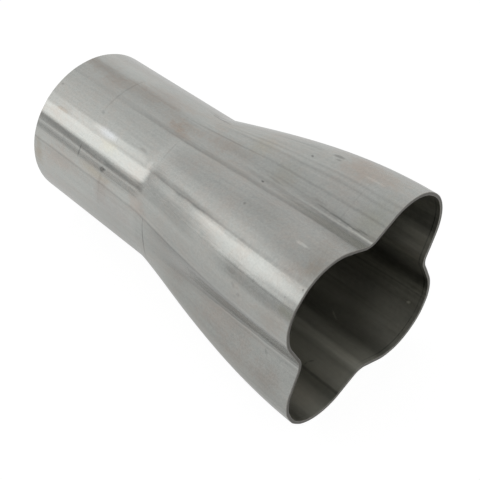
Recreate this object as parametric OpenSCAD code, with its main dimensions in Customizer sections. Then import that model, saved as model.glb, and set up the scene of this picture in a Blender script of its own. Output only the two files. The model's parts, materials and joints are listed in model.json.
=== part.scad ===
// Exhaust collector: four primary tubes slip into the lobed mouth and merge into one round outlet.
// It is formed from one length of tube, and lies here as it comes to rest, on two lobes and the
// outlet's lower edge. +X points out of the mouth, +Z is up, and the origin is on the surface that
// it lies on, under the middle of its length.

/* [Outlet] */
// Outer diameter of the round outlet
outlet_od = 76.2; // [60:0.1:84]
// Length of the round outlet, up to the middle of the bend into the flare
outlet_length = 76.2; // [30:0.1:120]

/* [Wall] */
// Thickness of the tube wall
wall = 1.5; // [1:0.1:2.5]

/* [Mouth] */
// Outer diameter of each primary tube
primary_od = 44.45; // [40:0.05:52]
// Clearance all round a primary tube in its lobe
primary_clearance = 0.175; // [0.05:0.005:0.4]
// Gap between two neighbouring primary tubes
primary_gap = 0.35; // [0:0.05:3]
// How deep each waist is folded in below the lobes beside it
waist_depth = 6.9; // [3:0.1:8]
// Outer radius of the fold at each waist
waist_radius = 8; // [3:0.5:10]

/* [Flare] */
// Length of the collector from end to end
overall_length = 177.8; // [150:0.1:260]
// Length of the soft bend where the flare leaves the round outlet
bend_length = 8; // [2:0.5:16]
// Length of the straight lip at the mouth
lip_length = 3; // [2:0.5:12]
// How far each face of the wall draws in where forming stretches it over the flare
thinning = 0.1; // [0.09:0.01:0.2]

/* [Smoothness] */
// Number of steps along the soft bend
bend_steps = 4; // [2:1:6]
// Number of steps along the flare
flare_steps = 16; // [10:1:18]
// Number of steps round each half of a lobe
lobe_steps = 8; // [8:1:10]
// Number of steps round each half of a waist
fold_steps = 2; // [2:1:3]
// Number of steps along each straight side between a waist and a lobe
side_steps = 3; // [3:1:4]

/* [Hidden] */
$fn = 128;

outlet_r = outlet_od / 2;
flare_end = overall_length - lip_length;

// A lobe is centred at [lobe_offset, lobe_offset], and its outside has the radius lobe_r.
lobe_offset = (primary_od + primary_gap) / 2;
lobe_r = primary_od / 2 + primary_clearance + wall;
lobe_reach = lobe_offset + lobe_r;

// A waist's fold is centred outside the wall. The straight side between it and the lobe touches
// both, at the angle side_angle as seen from the centre of the fold.
waist_reach = lobe_reach - waist_depth;
fold_centre = waist_reach + waist_radius;
apart = [fold_centre - lobe_offset, lobe_offset];
side_angle = 180 - atan2(apart.y, apart.x) + acos((lobe_r + waist_radius) / norm(apart));

// How far a cut reaches past the face that it opens
past = 1;

function polar(radius, angle) = radius * [cos(angle), sin(angle)];
function turned(p, angle) = [
    p.x * cos(angle) - p.y * sin(angle),
    p.x * sin(angle) + p.y * cos(angle)
];
function arc(centre, radius, from, to, steps) =
    [for (i = [0:steps]) centre + polar(radius, from + (to - from) * i / steps)];

// One quarter of the mouth's outline, from the middle of one waist up to the next.
// inset is how far the outline lies inside the wall's outer face.
function quarter(inset) =
    let (
        fold_r = waist_radius + inset,
        fold = arc([fold_centre, 0], fold_r, 180, side_angle, fold_steps),
        lobe = arc([lobe_offset, lobe_offset], lobe_r - inset, side_angle - 180, 45, lobe_steps),
        start = fold[fold_steps],
        half = concat(
            fold,
            [for (i = [1:side_steps - 1]) start + (lobe[0] - start) * i / side_steps],
            lobe
        )
    )
    concat(half, [for (i = [len(half) - 2:-1:1]) [half[i].y, half[i].x]]);

// The whole outline of the mouth
function outline(inset) = [for (k = [0:3]) for (p = quarter(inset)) turned(p, 90 * k)];

// How far the flare has opened at the height z: 0 at the round outlet and 1 at the lip.
// It turns away from the outlet along a parabola, and then opens as a quarter of a sine wave.
function opened(z) =
    let (
        half_bend = bend_length / 2,
        run = z - outlet_length,
        ramp = run < half_bend ? pow(run + half_bend, 2) / (4 * half_bend) : run
    )
    sin(90 * ramp / (flare_end - outlet_length));

// A ring of the flare: each point of the mouth's outline, moved straight in towards the outlet
function ring(z, inset) =
    let (round_r = outlet_r - inset, share = opened(z))
    [for (p = outline(inset)) let (q = p * (round_r / norm(p) * (1 - share) + share)) [q.x, q.y, z]];

bend_start = outlet_length - bend_length / 2;
bend_end = outlet_length + bend_length / 2;
heights = concat(
    [for (i = [0:bend_steps - 1]) bend_start + bend_length * i / bend_steps],
    [for (i = [0:flare_steps]) bend_end + (flare_end - bend_end) * i / flare_steps]
);

// The outer rings from the outlet to the mouth, and then the inner rings back again
wall_rings = concat(
    [for (z = heights) ring(z, thinning)],
    [for (i = [len(heights) - 1:-1:0]) ring(heights[i], wall - thinning)]
);

// The flare leans over until it meets the surface that the outlet's lower edge rests on.
rest_tilt = max([
    for (i = [1:len(heights) - 1]) for (p = wall_rings[i]) atan2(-p.y - outlet_r, heights[i])
]);

module round_outlet() {
    difference() {
        cylinder(r = outlet_r, h = bend_start);
        translate([0, 0, -past])
            cylinder(r = outlet_r - wall, h = bend_start + 2 * past);
    }
}

module flare() {
    rings = len(wall_rings);
    n = len(wall_rings[0]);
    points = [for (one = wall_rings) for (p = one) p];
    faces = [
        for (i = [0:rings - 1]) for (j = [0:n - 1])
            let (
                a = i * n + j,
                b = i * n + (j + 1) % n,
                c = (i + 1) % rings * n + (j + 1) % n,
                d = (i + 1) % rings * n + j
            )
            each [[a, d, c], [a, c, b]]
    ];
    polyhedron(points, faces);
}

// The mouth's outline with true arcs
module mouth_area(inset) {
    corners = quarter(inset);
    lobe_start = corners[fold_steps + side_steps];
    fold_end = corners[fold_steps];
    quarter_corners = [
        fold_end,
        lobe_start,
        [lobe_offset, lobe_offset],
        [lobe_start.y, lobe_start.x],
        [fold_end.y, fold_end.x]
    ];
    difference() {
        union() {
            polygon([for (k = [0:3]) for (p = quarter_corners) turned(p, 90 * k)]);
            for (k = [0:3])
                rotate(90 * k)
                    translate([lobe_offset, lobe_offset])
                        circle(r = lobe_r - inset);
        }
        for (k = [0:3])
            rotate(90 * k)
                translate([fold_centre, 0])
                    circle(r = waist_radius + inset);
    }
}

module mouth_lip() {
    linear_extrude(lip_length)
        difference() {
            mouth_area(0);
            mouth_area(wall);
        }
}

// Lays the collector down from its upright place on the outlet's end
module at_rest() {
    low_end = -outlet_r * sin(rest_tilt);
    high_end = overall_length * cos(rest_tilt) + lobe_reach * sin(rest_tilt);
    translate([-(low_end + high_end) / 2, 0, outlet_r * cos(rest_tilt)])
        rotate([0, -rest_tilt, 0])
            rotate([90, 0, 90])
                children();
}

module collector_body() {
    color([0.69, 0.68, 0.66])
        at_rest() {
            round_outlet();
            flare();
            translate([0, 0, flare_end])
                mouth_lip();
        }
}

collector_body();
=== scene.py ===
import json
import math
import bmesh
import bpy
from mathutils import Matrix, Vector, noise


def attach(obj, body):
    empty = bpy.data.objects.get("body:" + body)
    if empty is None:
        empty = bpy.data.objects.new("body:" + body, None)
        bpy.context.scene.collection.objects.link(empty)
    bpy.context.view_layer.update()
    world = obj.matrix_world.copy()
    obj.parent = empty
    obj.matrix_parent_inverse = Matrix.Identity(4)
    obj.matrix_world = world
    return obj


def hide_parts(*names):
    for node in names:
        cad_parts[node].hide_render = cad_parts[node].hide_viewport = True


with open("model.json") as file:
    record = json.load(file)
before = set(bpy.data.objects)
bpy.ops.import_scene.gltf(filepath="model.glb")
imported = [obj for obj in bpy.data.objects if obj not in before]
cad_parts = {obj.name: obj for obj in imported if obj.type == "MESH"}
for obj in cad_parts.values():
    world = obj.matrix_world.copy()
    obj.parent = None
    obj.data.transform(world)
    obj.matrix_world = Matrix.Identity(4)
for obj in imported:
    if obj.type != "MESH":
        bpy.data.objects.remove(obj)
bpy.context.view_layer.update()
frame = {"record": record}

# Sizes are in millimetres and angles in degrees, unless a name says otherwise.
MM = 0.001
RECORD_MOUNTS = {mount["name"]: mount for mount in frame["record"]["mounts"]}
OUTLET = RECORD_MOUNTS["outlet_outside"]
SEAT = RECORD_MOUNTS["primary_seat_upper_left"]

# The tube, from the mounts of the solid
OUTLET_R = OUTLET["dims"]["r_mm"]
BORE_R = RECORD_MOUNTS["outlet_bore"]["dims"]["r_mm"]
WALL = OUTLET_R - BORE_R
LIP_LENGTH = SEAT["dims"]["length_mm"]
LOBE_OFFSET = SEAT["pos_m"][1] / MM
LOBE_R = SEAT["dims"]["r_mm"] + WALL
OUTLET_PLACE = Vector(OUTLET["pos_m"])
AXIS = Vector(SEAT["axis"])
LENGTH = (Vector(SEAT["pos_m"]) - OUTLET_PLACE).dot(AXIS) / MM + LIP_LENGTH / 2

# The flare: its bend starts half a millimetre before the solid's and is a millimetre shorter
BEND_LENGTH = 7.0
BEND_START = OUTLET["dims"]["length_mm"] - 0.5
BEND_MIDDLE = BEND_START + BEND_LENGTH / 2
BEND_END = BEND_START + BEND_LENGTH
FLARE_END = LENGTH - LIP_LENGTH

# The folds at the waists, as the solid has them; no mount gives them
WAIST_DEPTH = 6.9
WAIST_R = 8.0
FOLD_CENTRE = LOBE_OFFSET + LOBE_R - WAIST_DEPTH + WAIST_R

# From the collector's upright frame, standing on its outlet in millimetres, to where it lies
REST_TILT = math.atan2(AXIS.z, AXIS.x)
AT_REST = (
    Matrix.Translation(OUTLET_PLACE)
    @ Matrix.Rotation(-REST_TILT, 4, "Y")
    @ Matrix.Rotation(math.pi / 2, 4, "Z")
    @ Matrix.Rotation(math.pi / 2, 4, "X")
    @ Matrix.Scale(MM, 4)
)

# How fine the mesh is: faces round the tube, and the step from ring to ring along each part
STEPS_ROUND = 640
TUBE_STEP = 6.0
BEND_STEP = 1.0
FLARE_STEP = 3.0
# How near to each other the points lie that are merged where the skin closes
MERGE_WITHIN = 0.001

# The deburred corners of both ends, and the angle from which an edge is shaded sharp
RIM_BEVEL = 0.2
BEVEL_STEPS = 2
SHARP_FROM = 15.0


def mouth_reach(angle, inset):
    """How far the mouth's outline lies from the axis at an angle round it"""
    bend = abs((angle + 45) % 90 - 45)
    way = Vector((math.cos(math.radians(bend)), math.sin(math.radians(bend))))
    fold = Vector((FOLD_CENTRE, 0.0))
    lobe = Vector((LOBE_OFFSET, LOBE_OFFSET))
    fold_r, lobe_r = WAIST_R + inset, LOBE_R - inset
    apart = lobe - fold
    side = math.atan2(apart.y, apart.x) + math.acos((fold_r + lobe_r) / apart.length)
    across = Vector((math.cos(side), math.sin(side)))
    fold_end = fold + fold_r * across
    lobe_start = lobe - lobe_r * across
    if bend < math.degrees(math.atan2(fold_end.y, fold_end.x)):
        near = fold.dot(way)
        return near - math.sqrt(fold_r ** 2 - fold.length_squared + near ** 2)
    if bend < math.degrees(math.atan2(lobe_start.y, lobe_start.x)):
        return fold_end.dot(across) / way.dot(across)
    middle = lobe.dot(way)
    return middle + math.sqrt(lobe_r ** 2 - lobe.length_squared + middle ** 2)


def opened(height):
    """How far the flare has opened: 0 at the round outlet and 1 at the lip"""
    if height <= BEND_START:
        return 0.0
    if height >= FLARE_END:
        return 1.0
    run = height - BEND_MIDDLE
    if height < BEND_END:
        run = (height - BEND_START) ** 2 / (2 * BEND_LENGTH)
    return math.sin(math.pi / 2 * run / (FLARE_END - BEND_MIDDLE))


# The forming die's segments press the skin a little flat between their edges. These are the edges'
# places round the tube, in millimetres from its top, and how flat the skin is up to the next edge.
DIE_EDGES = (
    (-119.7, 0.04), (-106.4, 0.5), (-101.0, 0.04), (-86.5, 0.6), (-81.0, 0.04), (-65.8, 0.1),
    (-53.2, 0.04), (-33.2, 0.2), (-26.6, 0.16), (-22.6, 0.04), (-6.0, 0.12), (7.0, 0.06),
    (22.6, 0.5), (26.6, 0.75), (33.2, 0.6), (36.4, 0.6), (37.6, 0.6), (40.2, 0.4), (45.5, 0.10),
    (60.8, 0.04), (75.0, 0.5), (79.5, 0.6), (86.0, 0.5), (91.0, 0.04), (106.4, 0.1), (119.7, 0.0),
)
# How much more the skin is pressed flat at the lip than at the outlet
LOBE_FLATTENING = 1.6
# Soft dents from handling: depth, distance from one to the next round the tube, and how much
# longer they are along it
SOFT_DENT = 0.12
SOFT_DENT_SPACING = 28.0
SOFT_DENT_STRETCH = 2.5


def round_from_top(point):
    """A place round the tube, in millimetres at the outlet's skin, measured from the top"""
    return math.atan2(-point.x, point.y) * OUTLET_R


def relief(point):
    """How far the formed skin stands off the plain form at a point of the upright collector"""
    turn = round_from_top(point)
    depth = 0.0
    for (low, flatness), (high, _) in zip(DIE_EDGES, DIE_EDGES[1:]):
        if low <= turn < high:
            depth += flatness * (turn - low) * (high - turn) / (2 * OUTLET_R)
    depth *= 1 + LOBE_FLATTENING * opened(point.z)
    way = Vector((point.x, point.y, 0.0)).normalized() * OUTLET_R / SOFT_DENT_SPACING
    way.z = point.z / (SOFT_DENT_STRETCH * SOFT_DENT_SPACING)
    depth += SOFT_DENT * (0.5 + 0.5 * noise.noise(way))
    return -depth


def steps(start, end, step):
    """Even heights from a start up to just before an end, about a step apart"""
    count = max(1, round((end - start) / step))
    return [start + (end - start) * i / count for i in range(count)]


# The shell's material slots, in the order in which its materials are added
SKIN, BORE, RIM, EDGE = range(4)


def build_shell():
    """The wall as one closed skin: up the outside, over the mouth's rim and back down the bore"""
    bm = bmesh.new()
    heights = (
        steps(0, BEND_START, TUBE_STEP) + steps(BEND_START, BEND_END, BEND_STEP)
        + steps(BEND_END, FLARE_END, FLARE_STEP) + [FLARE_END, LENGTH]
    )
    stations = [(height, OUTLET_R, SKIN) for height in heights[1:]]
    stations += [(LENGTH, BORE_R, RIM)]
    stations += [(height, BORE_R, BORE) for height in reversed(heights[:-1])]
    stations += [(0.0, OUTLET_R, RIM)]
    bmesh.ops.create_circle(bm, segments=STEPS_ROUND, radius=OUTLET_R)
    edges = bm.edges[:]
    height, radius = 0.0, OUTLET_R
    for next_height, next_radius, material in stations:
        made = bmesh.ops.extrude_edge_only(bm, edges=edges)["geom"]
        ring = [item for item in made if isinstance(item, bmesh.types.BMVert)]
        edges = [
            item for item in made if isinstance(item, bmesh.types.BMEdge) and item.is_boundary
        ]
        narrowing = next_radius / radius
        bmesh.ops.scale(bm, verts=ring, vec=(narrowing, narrowing, 1))
        bmesh.ops.translate(bm, verts=ring, vec=(0, 0, next_height - height))
        for item in made:
            if isinstance(item, bmesh.types.BMFace):
                item.material_index = material
        height, radius = next_height, next_radius
    bmesh.ops.remove_doubles(bm, verts=bm.verts, dist=MERGE_WITHIN)
    rim_edges = [
        edge for edge in bm.edges
        if len({face.material_index == RIM for face in edge.link_faces}) == 2
    ]
    for vert in bm.verts:
        reach = math.hypot(vert.co.x, vert.co.y)
        inset = 0.0 if reach > OUTLET_R - WALL / 2 else WALL
        angle = math.degrees(math.atan2(vert.co.y, vert.co.x))
        share = opened(vert.co.z)
        new_reach = reach * (1 - share) + mouth_reach(angle, inset) * share + relief(vert.co)
        vert.co.xy = vert.co.xy * (new_reach / reach)
    bmesh.ops.recalc_face_normals(bm, faces=bm.faces)
    bevelled = bmesh.ops.bevel(
        bm, geom=rim_edges, offset=RIM_BEVEL, offset_type="OFFSET", segments=BEVEL_STEPS,
        profile=0.5, affect="EDGES", material=-1,
    )["faces"]
    for face in bevelled:
        face.material_index = EDGE
    bmesh.ops.transform(bm, matrix=AT_REST, verts=bm.verts)
    mesh = bpy.data.meshes.new("collector_shell")
    bm.to_mesh(mesh)
    bm.free()
    for polygon in mesh.polygons:
        polygon.use_smooth = True
    mesh.set_sharp_from_angle(angle=math.radians(SHARP_FROM))
    shell = bpy.data.objects.new("collector_shell", mesh)
    bpy.context.scene.collection.objects.link(shell)
    return shell


# How deep the bump of the grain is
GRAIN_DEPTH = 0.02
# How rough every noise pattern is, from smooth at 0 to as strong in its finest detail at 1
PATTERN_ROUGHNESS = 0.6
# How soft the sides of a drawn line are, as a share of half its width
LINE_SOFTNESS = 0.7
# How soft the line of a die edge is, and how slowly its shade starts and ends along the tube
DIE_EDGE_SOFTNESS = 0.35
EDGE_FADE = 12.0
# A spot's gradient runs on to twice the spot's size, which leaves room for its ragged edge
SPOT_RUN = 2.0
# Where a score and a stain start and are full, as in_spot measures it
SCORE_EDGE = (0.85, 1.6)
STAIN_EDGE = (0.7, 2.0)


def linear(colour):
    """An sRGB hex colour as the linear colour that a shader takes"""
    parts = [int(colour[i:i + 2], 16) / 255 for i in (1, 3, 5)]
    return [p / 12.92 if p <= 0.04045 else ((p + 0.055) / 1.055) ** 2.4 for p in parts] + [1.0]


def add(tree, kind, inputs=None, **settings):
    """Adds a node with its settings; each input is a value, or the output that it is linked from"""
    made = tree.nodes.new(kind)
    for name, value in settings.items():
        setattr(made, name, value)
    for name, value in (inputs or {}).items():
        if isinstance(value, bpy.types.NodeSocket):
            tree.links.new(value, made.inputs[name])
        else:
            made.inputs[name].default_value = value
    return made


def new_tree(name):
    """An empty material and its node tree"""
    material = bpy.data.materials.new(name)
    material.use_nodes = True
    material.node_tree.nodes.clear()
    return material, material.node_tree


def tube_places(tree):
    """Where a point of the wall is, in millimetres: how far along the tube, how far round it from
    the top, and a place on the plain round tube that has no seam"""
    place, turn, scale = AT_REST.inverted().decompose()
    at = add(tree, "ShaderNodeTexCoord").outputs["Object"]
    upright = add(tree, "ShaderNodeMapping", {
        "Vector": at, "Location": place, "Rotation": turn.to_euler(), "Scale": scale,
    }, vector_type="POINT")
    parts = add(tree, "ShaderNodeSeparateXYZ", {0: upright.outputs[0]})
    flipped = add(tree, "ShaderNodeMath", {0: parts.outputs["X"], 1: -1.0}, operation="MULTIPLY")
    angle = add(tree, "ShaderNodeMath", {
        0: flipped.outputs[0], 1: parts.outputs["Y"],
    }, operation="ARCTAN2")
    round_it = add(tree, "ShaderNodeMath", {
        0: angle.outputs[0], 1: OUTLET_R,
    }, operation="MULTIPLY")
    flat = add(tree, "ShaderNodeVectorMath", {
        0: upright.outputs[0], 1: (1, 1, 0),
    }, operation="MULTIPLY")
    way = add(tree, "ShaderNodeVectorMath", {0: flat.outputs[0]}, operation="NORMALIZE")
    ring = add(tree, "ShaderNodeVectorMath", {
        0: way.outputs[0], "Scale": OUTLET_R,
    }, operation="SCALE")
    column = add(tree, "ShaderNodeCombineXYZ", {"Z": parts.outputs["Z"]})
    seamless = add(tree, "ShaderNodeVectorMath", {
        0: ring.outputs[0], 1: column.outputs[0],
    }, operation="ADD")
    return parts.outputs["Z"], round_it.outputs[0], seamless.outputs[0]


def drawn_noise(tree, seamless, width, length, detail, seed):
    """Noise drawn out along the tube, from -0.5 to 0.5, as wide and long as said in millimetres"""
    squeezed = add(tree, "ShaderNodeMapping", {
        "Vector": seamless, "Location": (seed, seed, seed),
        "Scale": (1 / width, 1 / width, 1 / length),
    })
    field = add(tree, "ShaderNodeTexNoise", {
        "Vector": squeezed.outputs[0], "Scale": 1.0, "Detail": detail,
        "Roughness": PATTERN_ROUGHNESS,
    })
    return add(tree, "ShaderNodeMath", {
        0: field.outputs["Fac"], 1: 0.5,
    }, operation="SUBTRACT").outputs[0]


def shaded(tree, tone, patterns):
    """A tone with each pattern laid over it, as strongly as said"""
    for pattern, strength in patterns:
        tone = add(tree, "ShaderNodeMath", {
            0: pattern, 1: strength, 2: tone,
        }, operation="MULTIPLY_ADD").outputs[0]
    return tone


def band(tree, place, rise, fall, outside, inside):
    """One value inside a band and another outside it; the rise and the fall are soft, and each is
    given by where it starts and ends"""
    risen = add(tree, "ShaderNodeMapRange", {
        "Value": place, "From Min": rise[0], "From Max": rise[1],
        "To Min": outside, "To Max": inside,
    }, interpolation_type="SMOOTHSTEP").outputs[0]
    return add(tree, "ShaderNodeMapRange", {
        "Value": place, "From Min": fall[0], "From Max": fall[1],
        "To Min": risen, "To Max": outside,
    }, interpolation_type="SMOOTHSTEP").outputs[0]


def reach_of(tree, along, start, end, fade):
    """1 between two places along the tube and 0 outside them, with soft ends"""
    fade = min(fade, (end - start) / 4)
    return band(tree, along, (start - fade, start + fade), (end - fade, end + fade), 0.0, 1.0)


def drawn_marks(tree, tone, across, along, marks, fade):
    """Draws lines along the tube into a tone. Each has its place across, half its width, its start,
    its end and its depth. Passing the tone through each band keeps the material small enough to
    compile, however many lines there are."""
    for start, end in dict.fromkeys(mark[2:4] for mark in marks):
        reach = reach_of(tree, along, start, end, fade)
        for place, half_width, *own_reach, depth in marks:
            if own_reach == [start, end]:
                soft = half_width * LINE_SOFTNESS
                low, high = place - half_width, place + half_width
                full = add(tree, "ShaderNodeMath", {
                    0: reach, 1: depth, 2: tone,
                }, operation="MULTIPLY_ADD").outputs[0]
                rise, fall = (low - soft, low + soft), (high - soft, high + soft)
                tone = band(tree, across, rise, fall, tone, full)
    return tone


def edge_shades(tree, tone, across, along, edges):
    """Draws shades into a tone that are full at a die edge and fade away on one side of it. Each has
    the edge's place, the width that it fades over (negative towards the top), its start, its end
    and its depth."""
    for place, width, start, end, depth in edges:
        side = math.copysign(DIE_EDGE_SOFTNESS, width)
        reach = reach_of(tree, along, start, end, EDGE_FADE)
        full = add(tree, "ShaderNodeMath", {
            0: reach, 1: depth, 2: tone,
        }, operation="MULTIPLY_ADD").outputs[0]
        rise, fall = (place - side, place + side), (place, place + width)
        tone = band(tree, across, rise, fall, tone, full)
    return tone


def in_spot(tree, surface, ragged, place, turn, half_length, half_width, slant):
    """How deep in a spot a point of the wall lies: 2 at its middle, and about 1 at its ragged edge"""
    own = add(tree, "ShaderNodeMapping", {
        "Vector": surface, "Location": (place, turn, 0), "Rotation": (0, 0, math.radians(slant)),
        "Scale": (SPOT_RUN * half_length, SPOT_RUN * half_width, 1),
    }, vector_type="TEXTURE")
    near = add(tree, "ShaderNodeTexGradient", {
        "Vector": own.outputs[0],
    }, gradient_type="SPHERICAL")
    return add(tree, "ShaderNodeMath", {
        0: near.outputs["Fac"], 1: SPOT_RUN, 2: ragged,
    }, operation="MULTIPLY_ADD").outputs[0]


def scores(tree, surface, ragged, marks):
    """The sum of short marks. Each has its place along and round the tube, half its length and
    width, its slant from the tube's axis, and how much lighter or darker it is."""
    total = 0.0
    for *shape, depth in marks:
        cover = add(tree, "ShaderNodeMapRange", {
            "Value": in_spot(tree, surface, ragged, *shape),
            "From Min": SCORE_EDGE[0], "From Max": SCORE_EDGE[1], "To Max": depth,
        }, interpolation_type="SMOOTHSTEP")
        total = add(tree, "ShaderNodeMath", {
            0: cover.outputs[0], 1: total,
        }, operation="ADD").outputs[0]
    return total


def stains(tree, surface, ragged, colour, spots):
    """Lays soft stains over a colour, and a patch of painted highlight where a table has one. Each
    has its place along and round the tube, half its length and width, its tint and its strength."""
    for *shape, tint, strength in spots:
        cover = add(tree, "ShaderNodeMapRange", {
            "Value": in_spot(tree, surface, ragged, *shape, 0),
            "From Min": STAIN_EDGE[0], "From Max": STAIN_EDGE[1], "To Max": strength,
        }, interpolation_type="SMOOTHSTEP")
        colour = add(tree, "ShaderNodeMix", {
            "Factor": cover.outputs[0], "A": colour, "B": linear(tint),
        }, data_type="RGBA").outputs["Result"]
    return colour


def bare_steel(tree, colour, rough, height):
    """Bare stainless steel of a colour and roughness, with a grain of a height"""
    bump = add(tree, "ShaderNodeBump", {
        "Strength": 1.0, "Distance": GRAIN_DEPTH * MM, "Height": height,
    })
    shader = add(tree, "ShaderNodeBsdfPrincipled", {
        "Base Color": colour, "Metallic": 1.0, "Roughness": rough, "Normal": bump.outputs[0],
    })
    add(tree, "ShaderNodeOutputMaterial", {"Surface": shader.outputs["BSDF"]})


# All the marks are placed one by one. Their depth is how much lighter or darker the steel is there.

# Lines along the tube: fine lines that the die draws, and broader bands of painted highlight and
# painted dark reflection that brighten and trim the softbox's bright bands and darken below them, and
# of painted shade in the waists' folds and on the flare's underside: place round it from the top,
# half width, start, end, depth
DIE_LINES_AND_PAINTED_LIGHT = (
    (0.6, 6.4, -9, 190, -0.08), (9.2, 1.4, -9, 80, 0.04), (15.2, 3.6, 78, 150, -0.08),
    (13.5, 7.5, 84, 190, -0.05), (13.0, 6.0, 128, 190, -0.07), (9.3, 2.0, 120, 190, -0.06),
    (53.0, 9.5, 84, 150, -0.12), (75.0, 30.0, 96, 190, -0.14), (64.5, 4.0, 96, 142, 0.08),
    (28.6, 1.8, 92, 128, 0.16), (29.6, 3.0, 116, 190, -0.05), (30.8, 1.4, 140, 190, -0.04),
    (4.2, 3.0, 112, 146, -0.1), (1.7, 1.0, 150, 190, -0.22), (6.5, 1.1, 50, 190, -0.08),
    (-1.4, 0.9, 142, 190, -0.14), (-2.6, 0.3, 118, 165, -0.06), (-0.3, 0.35, 168, 190, 0.3),
    (-14.5, 0.4, 96, 190, 0.06), (-13.6, 0.3, 96, 190, -0.07), (-12.6, 0.3, 96, 190, 0.05),
    (-11.6, 0.3, 90, 190, -0.07), (-10.4, 0.3, 104, 190, 0.05), (-7.0, 0.45, 116, 190, -0.12),
    (45.6, 0.45, -9, 190, -0.14), (44.4, 0.5, -9, 190, 0.06), (60.9, 0.4, 132, 190, 0.16),
    (62.3, 0.4, 140, 190, -0.06), (35.6, 1.5, 136, 190, -0.15), (-45.4, 0.5, -9, 190, -0.12),
    (-26.2, 0.6, 77, 190, -0.12), (-59.8, 6.0, -9, 190, -0.08), (-66.0, 0.5, -9, 190, -0.12),
    (-53.4, 0.5, -9, 190, -0.12), (-59.8, 0.9, 142, 190, -0.2), (-86.5, 0.6, 77, 190, -0.12),
    (-114.0, 0.5, -9, 190, -0.12), (113.0, 0.5, -9, 190, -0.12), (93.5, 0.6, 77, 190, -0.12),
    (-74.0, 0.5, -9, 190, -0.1), (77.0, 0.5, -9, 190, -0.06), (118.6, 0.8, 142, 190, -0.2),
    (32.2, 1.4, 114, 140, 0.2), (32.0, 1.2, 158, 190, -0.26), (35.2, 1.5, 142, 190, -0.1),
    (26.9, 0.7, 114, 150, -0.22), (26.6, 0.4, 96, 116, -0.2), (28.4, 1.6, 80, 98, 0.18),
    (34.8, 1.6, 78, 116, -0.14), (32.6, 0.9, 142, 160, -0.12),
)
# The same on the round outlet up to the bend: lines where it slid through its sizing ring, and
# painted highlight and painted dark reflections above and below the softbox's bright band
OUTLET_LINES_AND_PAINTED_LIGHT = (
    (35.3, 1.0, -9, 76, -0.2), (32.6, 0.5, -9, 76, -0.14), (33.6, 0.7, -9, 76, -0.24),
    (35.2, 0.8, 50, 76, -0.13), (26.2, 0.7, -9, 72, -0.1), (23.4, 1.2, 34, 70, 0.16),
    (25.0, 1.8, -9, 18, -0.1), (37.0, 0.5, -9, 74, 0.12), (39.2, 1.1, -9, 50, -0.13),
    (39.2, 1.1, 44, 74, -0.07), (42.4, 1.8, -9, 78, 0.09), (26.75, 0.3, -9, 75, -0.05),
    (24.4, 1.8, -9, 75, -0.06), (12.0, 11.0, -9, 80, 0.03), (54.0, 7.0, -9, 76, 0.1),
    (-14.0, 7.0, -9, 36, 0.05), (-34.6, 1.3, -9, 76, -0.2), (85.2, 1.3, -9, 76, -0.2),
)
# Painted shade that is full at a die edge and fades on one side of it, in the waists' folds, where
# the flare starts to bend and along the top, with one stripe of painted light: place round the tube,
# width of the shade (negative towards the top), start, end, depth
PAINTED_SHADE_AT_EDGES = (
    (-5.7, 4.0, -9, 66, -0.08), (7.5, -3.0, -9, 190, -0.06), (7.5, -2.4, 66, 160, -0.08),
    (7.7, 4.0, 76, 126, 0.07), (26.6, -2.3, 75, 122, -0.34), (26.6, -1.2, 118, 190, -0.06),
    (45.6, 7.0, 90, 190, -0.14), (60.4, -8.0, 116, 190, -0.14), (0.7, 4.0, 116, 190, -0.14),
    (-45.4, -6.0, 90, 190, -0.12),
)
# Marks of the forming tool's rings, which are also pressed in: place along and round the tube, half
# length, half width, slant, depth
RING_MARKS = (
    (32.5, 1.7, 17, 0.6, 87, -0.13), (33.7, 16.8, 1.5, 0.9, 20, -0.16),
    (32.7, 38.0, 3.6, 0.55, 90, -0.3), (20.2, 37.8, 2.3, 0.45, 90, -0.14),
    (49.9, 38.7, 1.9, 1.5, 0, -0.4), (51.4, 38.2, 1.2, 0.7, 0, -0.3),
    (50.1, 43.5, 4.0, 1.1, 90, -0.1), (50.4, 52, 10, 0.9, 90, -0.04),
    (82.5, 58.5, 17, 0.42, 91, -0.36), (82.5, -58.5, 14, 0.42, 90, -0.3),
    (82.3, 104, 15, 0.42, 90, -0.3), (82.3, -104, 13, 0.42, 90, -0.3),
    (77.5, 14, 8.5, 0.5, 88, -0.1), (160, -6, 15, 0.5, 90, -0.05),
)
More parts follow.
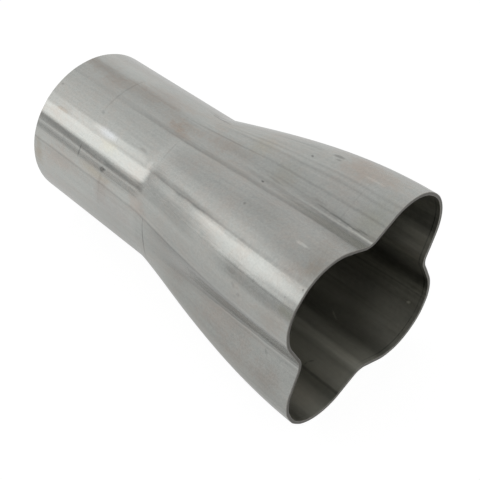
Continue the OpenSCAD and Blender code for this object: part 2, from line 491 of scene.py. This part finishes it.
# Short scores, smudges, pits and scratches, in the same order
SCORES = (
    (38, 35.2, 48, 1.7, 1.2, -0.2), (76, -19.3, 7.5, 0.5, 3, -0.3),
    (76.5, -17.2, 6.8, 0.65, 8, -0.34), (81, -15.8, 5, 0.45, 12, -0.28),
    (73, -18.2, 4, 0.4, 4, -0.2), (138.6, -20, 3.6, 0.9, 0, -0.36),
    (140.4, -18.3, 1.5, 0.6, 0, -0.26), (119, -19.8, 16, 0.5, 0, -0.16),
    (126, -20.6, 8, 0.4, 0, -0.14), (92, -5.9, 28, 0.5, -2.4, -0.16),
    (123.2, 3.4, 0.9, 0.6, 20, -0.55), (130.2, -15.3, 1.0, 0.55, 15, -0.4),
    (130.3, 16.8, 0.9, 0.55, 10, -0.24), (2.3, 16.6, 0.9, 0.7, 0, -0.22),
    (66, 20.6, 2.8, 0.8, 0, -0.16), (160, -17, 6, 0.5, 0, 0.16), (163.6, 17.8, 3.8, 0.6, 0, 0.26),
    (20, 50.8, 1.9, 0.4, 45, 0.1), (21, 52.1, 1.3, 0.35, 60, 0.1), (45.2, 49.8, 1.7, 0.4, 50, 0.1),
    (46.6, 51, 1.5, 0.35, 55, 0.1), (50.5, 23.6, 1.8, 0.45, 80, -0.1),
    (148, -3.2, 4, 0.4, 0, -0.14), (126, -0.9, 6, 0.6, 3, -0.12), (171.5, -2.1, 3.4, 0.4, 2, -0.22),
    (151.5, -2.0, 4.4, 0.35, 2, -0.2), (157.5, -1.8, 3.6, 0.45, -2, -0.24),
    (163, -1.6, 4.0, 0.45, 2, -0.26), (168.5, -1.4, 3.6, 0.4, -2, -0.24),
    (160.6, -0.9, 1.4, 0.3, 0, 0.2), (166, -0.8, 1.6, 0.3, 0, 0.2),
    (147.5, 38.2, 1.5, 0.7, 30, -0.14), (151, 40, 1.3, 0.7, -20, -0.13),
    (149, 41.6, 1.1, 0.6, 10, -0.1), (161, 64, 1.3, 0.9, 30, -0.16),
    (144.5, 34.9, 3.2, 0.9, 0, -0.12), (176.4, 27.4, 0.5, 0.4, 0, -0.3),
    (171.5, 31.5, 0.45, 0.35, 0, -0.16), (100, 25.0, 9, 0.9, 0, -0.08),
    (60, 40.9, 12, 0.35, 0, -0.12), (66, -70, 9, 0.6, 20, -0.14), (120, 98, 14, 0.7, -6, -0.14),
    (30, -88, 12, 0.6, 14, -0.14),
)
# Heat tints, oil stains and polished patches, and one pale patch of painted highlight: place along
# and round the tube, half length, half width, colour, strength
SKIN_STAINS_AND_PAINTED_HIGHLIGHT = (
    (73, -0.6, 9, 3.6, "#A68B74", 0.3), (70.5, 2.8, 6, 2.4, "#A68B74", 0.26),
    (76, 5.0, 5, 2.0, "#A68B74", 0.2), (11, -3.4, 18, 4.4, "#8E8074", 0.3),
    (48, -10, 16, 7, "#A8968A", 0.28), (36, -2.4, 36, 6, "#9C9084", 0.3),
    (8, -12, 9, 6, "#B0A69E", 0.2), (80, -14, 14, 6, "#A89A8C", 0.24),
    (108, -10, 8, 5, "#B4A88C", 0.26), (98, -3, 14, 5, "#A3968A", 0.24),
    (78, 44, 9, 4, "#B09C90", 0.3), (46, 42.4, 11, 2, "#B2A68A", 0.26),
    (4, 52, 3.4, 10, "#9C8E78", 0.34), (20, 48, 16, 7, "#AE9E94", 0.24),
    (52, 48, 4, 9, "#A8978C", 0.24), (156, -20, 20, 5.5, "#AE9A8A", 0.3),
    (148, -23, 12, 3.6, "#A8988C", 0.24), (172, -7, 8, 9, "#9A9F88", 0.24),
    (127, -5, 8, 7, "#A2A494", 0.2), (173, 16, 9, 8, "#A09080", 0.26),
    # The pale blue-white patch 45 along and 23.6 round is painted highlight
    (175, 22, 5, 4, "#9A8C7A", 0.26), (45, 23.6, 7, 2.6, "#D6DAE0", 0.5),
    (49, 28.4, 7, 4, "#CCC8AC", 0.2), (12, 26.6, 5, 0.9, "#B09A84", 0.3),
    (104, 7, 22, 7, "#A29A90", 0.2), (136, 66, 16, 9, "#AB9C92", 0.26),
    (106, 62, 9, 8, "#A89C94", 0.22), (168, 41, 9, 5, "#A89A8E", 0.24),
    (165, 72, 9, 6, "#988E86", 0.24), (60, 54, 26, 9, "#A7A6A6", 0.3),
    (176, 34.6, 7, 1.6, "#8F9478", 0.3), (60, -62, 20, 8, "#A89484", 0.24),
    (100, -80, 26, 11, "#A2968A", 0.24), (40, 100, 30, 11, "#A2968A", 0.24),
    (140, -100, 24, 10, "#A09486", 0.24), (20, -95, 16, 9, "#AC9F96", 0.24),
)

# The skin's colour, and where heat and oil have warmed it
SKIN_COLOUR = "#BEC0BC"
WARM_COLOUR = "#B5AFA8"
# The skin's patterns: width, length along the tube, detail and a seed. Real mill grain is some
# hundredths of a millimetre wide, so fine and grit are drawn as coarse as they need to show.
SKIN_BROAD = (4.0, 80.0, 2.0, 3.1)
SKIN_FINE = (0.9, 30.0, 3.0, 17.3)
SKIN_CLOUD = (10.0, 13.0, 4.0, 29.9)
SKIN_MOTTLE = (1.6, 2.4, 4.0, 71.4)
SKIN_GRIT = (0.7, 0.9, 2.0, 53.2)
# How strongly each of them shades the steel
BROAD_SHADE = 0.16
FINE_SHADE = 0.2
MOTTLE_SHADE = 0.27
GRIT_SHADE = 0.28
CLOUD_SHADE = 0.2
# How far the clouds push the die's lines and the painted bands of light and shade sideways, and how
# slowly they start and end
LINE_WANDER = 1.2
LINE_FADE = 9.0
OUTLET_LINE_FADE = 2.5
# How far the clouds gather the mottle into blots, and how much of the warmer steel they show
BLOTTING = 1.4
BLOT_EDGE = (-0.3, 0.5)
WARMEST = 0.7
# Roughness of the skin, and how much the patterns change it
SKIN_ROUGHNESS = 0.22
FINE_ROUGHENS = 0.08
MOTTLE_ROUGHENS = 0.14
# How deep the grit and the ring marks are pressed, against the fine grain
GRIT_HEIGHT = 0.2
RING_HEIGHT = 1.2


def mill_finish_skin_and_painted_light():
    """Cold-rolled stainless sheet, formed over a die: a satin grey mirror that is soft along the
    rolling, with fine bright and dark lines where the die's edges slid, brown heat tints and oil, and
    painted highlights, painted dark reflections and painted shade in the folds and on the flare's
    underside"""
    material, tree = new_tree("mill_finish_stainless")
    along, round_it, seamless = tube_places(tree)
    broad = drawn_noise(tree, seamless, *SKIN_BROAD)
    fine = drawn_noise(tree, seamless, *SKIN_FINE)
    cloud = drawn_noise(tree, seamless, *SKIN_CLOUD)
    mottle = drawn_noise(tree, seamless, *SKIN_MOTTLE)
    grit = drawn_noise(tree, seamless, *SKIN_GRIT)
    wander = add(tree, "ShaderNodeMath", {
        0: cloud, 1: LINE_WANDER, 2: round_it,
    }, operation="MULTIPLY_ADD").outputs[0]
    surface = add(tree, "ShaderNodeCombineXYZ", {"X": along, "Y": round_it}).outputs[0]
    blotted = add(tree, "ShaderNodeMath", {
        0: cloud, 1: BLOTTING, 2: mottle,
    }, operation="MULTIPLY_ADD").outputs[0]

    warmth = add(tree, "ShaderNodeMapRange", {
        "Value": blotted, "From Min": BLOT_EDGE[0], "From Max": BLOT_EDGE[1],
        "To Min": 0.0, "To Max": WARMEST,
    }, interpolation_type="SMOOTHSTEP")
    colour = add(tree, "ShaderNodeMix", {
        "Factor": warmth.outputs[0], "A": linear(SKIN_COLOUR), "B": linear(WARM_COLOUR),
    }, data_type="RGBA").outputs["Result"]
    # Stains, and one patch of painted highlight
    colour = stains(tree, surface, blotted, colour, SKIN_STAINS_AND_PAINTED_HIGHLIGHT)

    rings = scores(tree, surface, mottle, RING_MARKS)
    tone = add(tree, "ShaderNodeMath", {0: rings, 1: 1.0}, operation="ADD").outputs[0]
    # Besides the die's lines, these paint highlights, dark reflections and the shade of the folds
    # into the steel's colour
    tone = drawn_marks(tree, tone, wander, along, DIE_LINES_AND_PAINTED_LIGHT, LINE_FADE)
    # Painted highlight and painted dark reflections along the outlet, as well as the sizing ring's
    # lines
    tone = drawn_marks(tree, tone, round_it, along, OUTLET_LINES_AND_PAINTED_LIGHT, OUTLET_LINE_FADE)
    # Painted shade in the folds and where the flare bends, full at the die edges and fading away from
    # them
    tone = edge_shades(tree, tone, wander, along, PAINTED_SHADE_AT_EDGES)
    short_marks = scores(tree, surface, mottle, SCORES)
    tone = add(tree, "ShaderNodeMath", {0: short_marks, 1: tone}, operation="ADD").outputs[0]
    tone = shaded(tree, tone, (
        (broad, BROAD_SHADE), (fine, FINE_SHADE), (mottle, MOTTLE_SHADE), (grit, GRIT_SHADE),
        (cloud, CLOUD_SHADE),
    ))
    colour = add(tree, "ShaderNodeVectorMath", {0: colour, "Scale": tone}, operation="SCALE")

    rough = add(tree, "ShaderNodeMath", {
        0: fine, 1: FINE_ROUGHENS, 2: SKIN_ROUGHNESS,
    }, operation="MULTIPLY_ADD")
    rough = add(tree, "ShaderNodeMath", {
        0: mottle, 1: MOTTLE_ROUGHENS, 2: rough.outputs[0],
    }, operation="MULTIPLY_ADD")
    height = add(tree, "ShaderNodeMath", {
        0: grit, 1: GRIT_HEIGHT, 2: fine,
    }, operation="MULTIPLY_ADD")
    height = add(tree, "ShaderNodeMath", {
        0: rings, 1: RING_HEIGHT, 2: height.outputs[0],
    }, operation="MULTIPLY_ADD")
    bare_steel(tree, colour.outputs[0], rough.outputs[0], height.outputs[0])
    return material


# Lighter and darker bands on the bore: a few thin lines where the die slid, and mostly painted light
# and painted shade where the inside is lit and shaded: place round it from the top, half width,
# start, end, depth
BORE_LINES_AND_PAINTED_LIGHT = (
    (89.5, 2.0, -9, 190, -0.2), (98.8, 4.4, -9, 190, 0.48), (106.3, 1.5, -9, 190, -0.12),
    (107.7, 0.4, -9, 190, -0.35), (112.0, 3.6, -9, 190, 0.3), (119.9, 2.8, -9, 190, 0.7),
    (-119.9, 2.8, -9, 190, 0.7), (-113.0, 4.4, -9, 190, 0.55), (-98.6, 4.0, 158, 190, 0.2),
    (-87.5, 8.8, -9, 190, -0.14), (-87.5, 8.8, -9, 158, -0.28), (-73.8, 4.6, -9, 152, -0.36),
    (-73.8, 4.6, 150, 190, -0.52), (-65.4, 3.6, -9, 190, -0.22), (-60.0, 2.6, -9, 190, -0.12),
    (-54.0, 4.6, 164, 190, 0.1), (-54.0, 4.6, -9, 164, -0.2), (-46.0, 2.6, -9, 190, -0.36),
    (-38.4, 5.2, -9, 190, -0.3), (-84.2, 0.4, -9, 190, 0.08), (-81.8, 0.35, -9, 190, -0.2),
    (-79.4, 0.35, -9, 190, 0.08), (-20.0, 5.0, -9, 190, -0.3), (-3.0, 2.0, -9, 190, 0.6),
    (12.0, 4.0, -9, 190, -0.3), (33.0, 6.0, -9, 190, 0.3), (56.0, 3.0, -9, 190, 0.6),
    (66.0, 2.6, -9, 190, -0.4), (78.0, 3.0, -9, 190, -0.2),
)
# A fine groove just inside the mouth, where the lip was sized, and scratches: place along and round
# the tube, half length, half width, slant, depth
BORE_SCORES = (
    (175.6, -105, 16, 0.4, 90, -0.35), (175.6, -60, 40, 0.4, 90, -0.35),
    (175.6, 60, 40, 0.4, 90, -0.35), (171, -86, 1.2, 0.6, 20, 0.9),
    (147, -104.5, 3, 0.45, -25, 0.5), (158.4, 110.4, 1.5, 0.4, 35, -0.4),
    (157.2, 108.9, 0.8, 0.45, 80, -0.35),
)
# Darker and browner patches: place along and round the tube, half length, half width, colour,
# strength
BORE_STAINS = (
    (171, -58, 8, 6, "#A69A8C", 0.2), (140, -90, 16, 9, "#86827A", 0.4),
    (165, 100, 9, 5, "#B9AA9A", 0.16),
)
# The bore's colour, and where its oxide is thicker
BORE_COLOUR = "#B9B9B1"
OXIDE_COLOUR = "#A9A79C"
# The bore's patterns, in the same order as the skin's, and how strongly each shades the steel
BORE_FINE = (0.9, 40.0, 3.0, 12.9)
BORE_CLOUD = (8.0, 14.0, 4.0, 33.4)
BORE_MOTTLE = (1.6, 2.4, 4.0, 61.8)
BORE_SHADE = 0.3
# How far the clouds push the bands sideways, and how much oxide there is between the clouds
BORE_WANDER = 0.8
OXIDE_SHARE = 0.5
# Painted shade: the bore is darkest deep inside, and lightens between these places along it towards
# the mouth
BORE_SHADE_LIFTS = (110.0, 170.0)
DEEPEST_SHADE = 0.72
# Roughness of the bore, and how much the fine grain and the bands change it
BORE_ROUGHNESS = 0.42
BORE_FINE_ROUGHENS = 0.2
BANDS_ROUGHEN = 0.12


def oxidised_bore():
    """The same sheet inside, which keeps its drawing oil and a thin brown oxide: darker and duller,
    with long streaks of the die, bands of painted light and painted shade round it, and painted shade
    that darkens it deep inside"""
    material, tree = new_tree("oxidised_bore")
    along, round_it, seamless = tube_places(tree)
    fine = drawn_noise(tree, seamless, *BORE_FINE)
    cloud = drawn_noise(tree, seamless, *BORE_CLOUD)
    mottle = drawn_noise(tree, seamless, *BORE_MOTTLE)
    wander = add(tree, "ShaderNodeMath", {
        0: cloud, 1: BORE_WANDER, 2: round_it,
    }, operation="MULTIPLY_ADD").outputs[0]
    surface = add(tree, "ShaderNodeCombineXYZ", {"X": along, "Y": round_it}).outputs[0]
    blotted = add(tree, "ShaderNodeMath", {
        0: cloud, 1: BLOTTING, 2: mottle,
    }, operation="MULTIPLY_ADD").outputs[0]
    clouded = add(tree, "ShaderNodeMath", {0: cloud, 1: OXIDE_SHARE}, operation="ADD")
    colour = add(tree, "ShaderNodeMix", {
        "Factor": clouded.outputs[0], "A": linear(BORE_COLOUR), "B": linear(OXIDE_COLOUR),
    }, data_type="RGBA").outputs["Result"]
    colour = stains(tree, surface, blotted, colour, BORE_STAINS)

    # Painted light and painted shade in bands round the bore, with a few thin die lines
    bands = drawn_marks(tree, 0.0, wander, along, BORE_LINES_AND_PAINTED_LIGHT, LINE_FADE)
    short_marks = scores(tree, surface, mottle, BORE_SCORES)
    tone = add(tree, "ShaderNodeMath", {0: short_marks, 1: bands}, operation="ADD").outputs[0]
    tone = shaded(tree, tone, ((fine, BORE_SHADE), (cloud, BORE_SHADE), (mottle, BORE_SHADE)))
    # Painted shade that darkens the bore deep inside
    depth = add(tree, "ShaderNodeMapRange", {
        "Value": along, "From Min": BORE_SHADE_LIFTS[0], "From Max": BORE_SHADE_LIFTS[1],
        "To Min": DEEPEST_SHADE, "To Max": 1.0,
    }, interpolation_type="SMOOTHSTEP")
    shade = add(tree, "ShaderNodeMath", {
        0: tone, 1: depth.outputs[0], 2: depth.outputs[0],
    }, operation="MULTIPLY_ADD")
    colour = add(tree, "ShaderNodeVectorMath", {
        0: colour, "Scale": shade.outputs[0],
    }, operation="SCALE")

    rough = add(tree, "ShaderNodeMath", {
        0: fine, 1: BORE_FINE_ROUGHENS, 2: BORE_ROUGHNESS,
    }, operation="MULTIPLY_ADD")
    rough = add(tree, "ShaderNodeMath", {
        0: bands, 1: BANDS_ROUGHEN, 2: rough.outputs[0],
    }, operation="MULTIPLY_ADD")
    bare_steel(tree, colour.outputs[0], rough.outputs[0], fine)
    return material


# The cut ends: name, colour, roughness, and how far apart the saw's lines or the deburring tool's
# strokes lie
SAWN_RIM = ("sawn_rim", "#66645F", 0.35, 0.4)
DEBURRED_EDGE = ("deburred_edge", "#94928C", 0.3, 1.5)
# The lines lie level: how often they change in a millimetre along the tube, and in a millimetre of
# their own length
SAW_LINES_DEEP = 1.0
SAW_LINES_DRAWN = 0.3
SAW_DETAIL = 3.0
# The part of the noise that shows, its darkest and lightest tone, and how much it roughens the steel
SAW_CONTRAST = (0.3, 0.7)
SAW_TONES = (0.75, 1.2)
SAW_ROUGHENS = 0.2


def cut_edge(name, colour, roughness, spacing):
    """A band-sawn end of the tube, dull and dark grey with fine level lines, or its deburred corner,
    which catches the light as a brighter hairline"""
    material, tree = new_tree(name)
    at = add(tree, "ShaderNodeTexCoord").outputs["Object"]
    stretched = add(tree, "ShaderNodeMapping", {
        "Vector": at,
        "Scale": (SAW_LINES_DEEP / MM, SAW_LINES_DRAWN / MM, 1 / (spacing * MM)),
    })
    lines = add(tree, "ShaderNodeTexNoise", {
        "Vector": stretched.outputs[0], "Scale": 1.0, "Detail": SAW_DETAIL,
    })
    tone = add(tree, "ShaderNodeMapRange", {
        "Value": lines.outputs["Fac"], "From Min": SAW_CONTRAST[0], "From Max": SAW_CONTRAST[1],
        "To Min": SAW_TONES[0], "To Max": SAW_TONES[1],
    })
    shade = add(tree, "ShaderNodeVectorMath", {
        0: linear(colour)[:3], "Scale": tone.outputs[0],
    }, operation="SCALE")
    rough = add(tree, "ShaderNodeMath", {
        0: lines.outputs["Fac"], 1: SAW_ROUGHENS, 2: roughness - SAW_ROUGHENS / 2,
    }, operation="MULTIPLY_ADD")
    bare_steel(tree, shade.outputs[0], rough.outputs[0], lines.outputs["Fac"])
    return material


# Brightness of the light tent by height above the horizon in degrees: on the near side, where gaps
# in the cloth show as dark bands in the steel, and on the far side
NEAR_TENT = (
    (0, 0.56), (4.5, 0.56), (5.5, 0.8), (7, 0.8), (8.5, 0.5), (13, 0.5), (15.5, 0.88), (40, 0.87),
    (56, 0.62),
)
FAR_TENT = ((0, 0.8), (20, 0.74), (40, 0.74), (58, 0.6))
# Where the near side turns into the far side and where the tent darkens past the mouth, both as
# parts of a ray's direction, and how dark it gets there
TENT_TURNS = (-0.25, 0.2)
FRONT_DARKENS = (0.1, 0.8)
FRONT_LEVEL = 0.7


def tent_side(tree, height, levels):
    """One side of the tent as a ramp over the sine of the height"""
    ramp = add(tree, "ShaderNodeValToRGB", {"Fac": height})
    stops = ramp.color_ramp.elements
    for index, (lift, level) in enumerate(levels):
        stop = stops[index] if index < len(stops) else stops.new(1.0)
        stop.position = math.sin(math.radians(lift))
        stop.color = (level, level, level, 1)
    return ramp.outputs["Color"]


def light_tent():
    """A white cloth tent round the collector, which the camera sees as plain white"""
    world = bpy.data.worlds.new("light_tent")
    bpy.context.scene.world = world
    world.use_nodes = True
    tree = world.node_tree
    tree.nodes.clear()
    ray = add(tree, "ShaderNodeTexCoord").outputs["Generated"]
    way = add(tree, "ShaderNodeSeparateXYZ", {0: ray})
    near = tent_side(tree, way.outputs["Z"], NEAR_TENT)
    far = tent_side(tree, way.outputs["Z"], FAR_TENT)
    side = add(tree, "ShaderNodeMapRange", {
        "Value": way.outputs["Y"], "From Min": TENT_TURNS[0], "From Max": TENT_TURNS[1],
    }, interpolation_type="SMOOTHSTEP")
    both = add(tree, "ShaderNodeMix", {
        "Factor": side.outputs[0], "A": near, "B": far,
    }, data_type="RGBA")
    front = add(tree, "ShaderNodeMapRange", {
        "Value": way.outputs["X"], "From Min": FRONT_DARKENS[0], "From Max": FRONT_DARKENS[1],
        "To Min": 1.0, "To Max": FRONT_LEVEL,
    }, interpolation_type="SMOOTHSTEP")
    cloth = add(tree, "ShaderNodeBackground", {
        "Color": both.outputs["Result"], "Strength": front.outputs[0],
    })
    white = add(tree, "ShaderNodeBackground", {"Color": (1, 1, 1, 1), "Strength": 1.0})
    path = add(tree, "ShaderNodeLightPath")
    seen = add(tree, "ShaderNodeMixShader", {
        0: path.outputs["Is Camera Ray"], 1: cloth.outputs[0], 2: white.outputs[0],
    })
    add(tree, "ShaderNodeOutputWorld", {"Surface": seen.outputs[0]})


def direction(turn, lift):
    """The way to something at an angle round from +X and a height above the horizon, in degrees"""
    turn, lift = math.radians(turn), math.radians(lift)
    return Vector((
        math.cos(turn) * math.cos(lift), math.sin(turn) * math.cos(lift), math.sin(lift),
    ))


def aim(name, data, place, back):
    """Puts a lamp or a camera at a place, turned away from the way back to it"""
    made = bpy.data.objects.new(name, data)
    made.location = place
    made.rotation_mode = "QUATERNION"
    made.rotation_quaternion = (-back).to_track_quat("-Z", "Y")
    bpy.context.scene.collection.objects.link(made)
    return made


# The softbox: its sides and its distance in metres, its direction, and the level it shows in a mirror
SOFTBOX_SIZE = (0.5, 0.265)
SOFTBOX_DISTANCE = 0.8
SOFTBOX_WAY = direction(-132.5, 27.5)
SOFTBOX_LEVEL = 0.58


def softbox():
    """The lamp that the bright bands along the near side mirror"""
    lamp = bpy.data.lights.new("softbox", "AREA")
    lamp.shape = "RECTANGLE"
    lamp.size, lamp.size_y = SOFTBOX_SIZE
    lamp.energy = SOFTBOX_LEVEL * math.pi * lamp.size * lamp.size_y
    aim("softbox", lamp, SOFTBOX_WAY * SOFTBOX_DISTANCE, SOFTBOX_WAY)


# The paper's half width in metres and its colour
FLOOR_REACH = 8.0
PAPER_COLOUR = "#F4F4F4"
# How strong its even glow is, and the share of it where the camera sees the paper and where the
# steel mirrors it; the rest of its look is lit paper, which keeps the shadow
PAPER_GLOW = 1.1
PAPER_GLOW_SEEN = 0.85
PAPER_GLOW_MIRRORED = 0.25


def paper_floor():
    """A white sheet under the collector, with an even glow so that only the soft shadow shows"""
    bm = bmesh.new()
    bmesh.ops.create_grid(bm, x_segments=1, y_segments=1, size=FLOOR_REACH)
    mesh = bpy.data.meshes.new("paper_floor")
    bm.to_mesh(mesh)
    bm.free()
    floor = bpy.data.objects.new("paper_floor", mesh)
    bpy.context.scene.collection.objects.link(floor)
    material, tree = new_tree("white_paper")
    path = add(tree, "ShaderNodeLightPath")
    mirrored = add(tree, "ShaderNodeMath", {
        0: path.outputs["Is Glossy Ray"], 1: path.outputs["Is Transmission Ray"],
    }, operation="MAXIMUM")
    mirrored = add(tree, "ShaderNodeMath", {
        0: mirrored.outputs[0], 1: PAPER_GLOW_MIRRORED,
    }, operation="MULTIPLY")
    share = add(tree, "ShaderNodeMath", {
        0: path.outputs["Is Camera Ray"], 1: PAPER_GLOW_SEEN, 2: mirrored.outputs[0],
    }, operation="MULTIPLY_ADD")
    matt = add(tree, "ShaderNodeBsdfDiffuse", {"Color": linear(PAPER_COLOUR)})
    glow = add(tree, "ShaderNodeEmission", {"Color": (1, 1, 1, 1), "Strength": PAPER_GLOW})
    mix = add(tree, "ShaderNodeMixShader", {
        0: share.outputs[0], 1: matt.outputs[0], 2: glow.outputs[0],
    })
    add(tree, "ShaderNodeOutputMaterial", {"Surface": mix.outputs[0]})
    mesh.materials.append(material)


# The camera: its film and lens, its direction from the point that it looks at, and its distance
FILM_WIDTH = 36.0
FOCAL_LENGTH = 68.07
CAMERA_WAY = direction(-44.05, 47.28)
CAMERA_DISTANCE = 395.9
LOOKED_AT = Vector((24.44, -8.82, 46.3))
# The nearest and farthest that it sees, in metres
CLIP_NEAR, CLIP_FAR = 0.01, 50.0


def camera():
    """The photograph's viewpoint, above the mouth's near side"""
    data = bpy.data.cameras.new("camera")
    data.sensor_width = FILM_WIDTH
    data.lens = FOCAL_LENGTH
    data.dof.use_dof = False
    data.clip_start, data.clip_end = CLIP_NEAR, CLIP_FAR
    place = (LOOKED_AT + CAMERA_WAY * CAMERA_DISTANCE) * MM
    bpy.context.scene.camera = aim("camera", data, place, CAMERA_WAY)


bpy.context.scene.view_settings.view_transform = "Standard"
shell = build_shell()
for finish in (
    mill_finish_skin_and_painted_light(), oxidised_bore(), cut_edge(*SAWN_RIM), cut_edge(*DEBURRED_EDGE),
):
    shell.data.materials.append(finish)
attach(shell, "root")
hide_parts("collector_body")
light_tent()
softbox()
paper_floor()
camera()
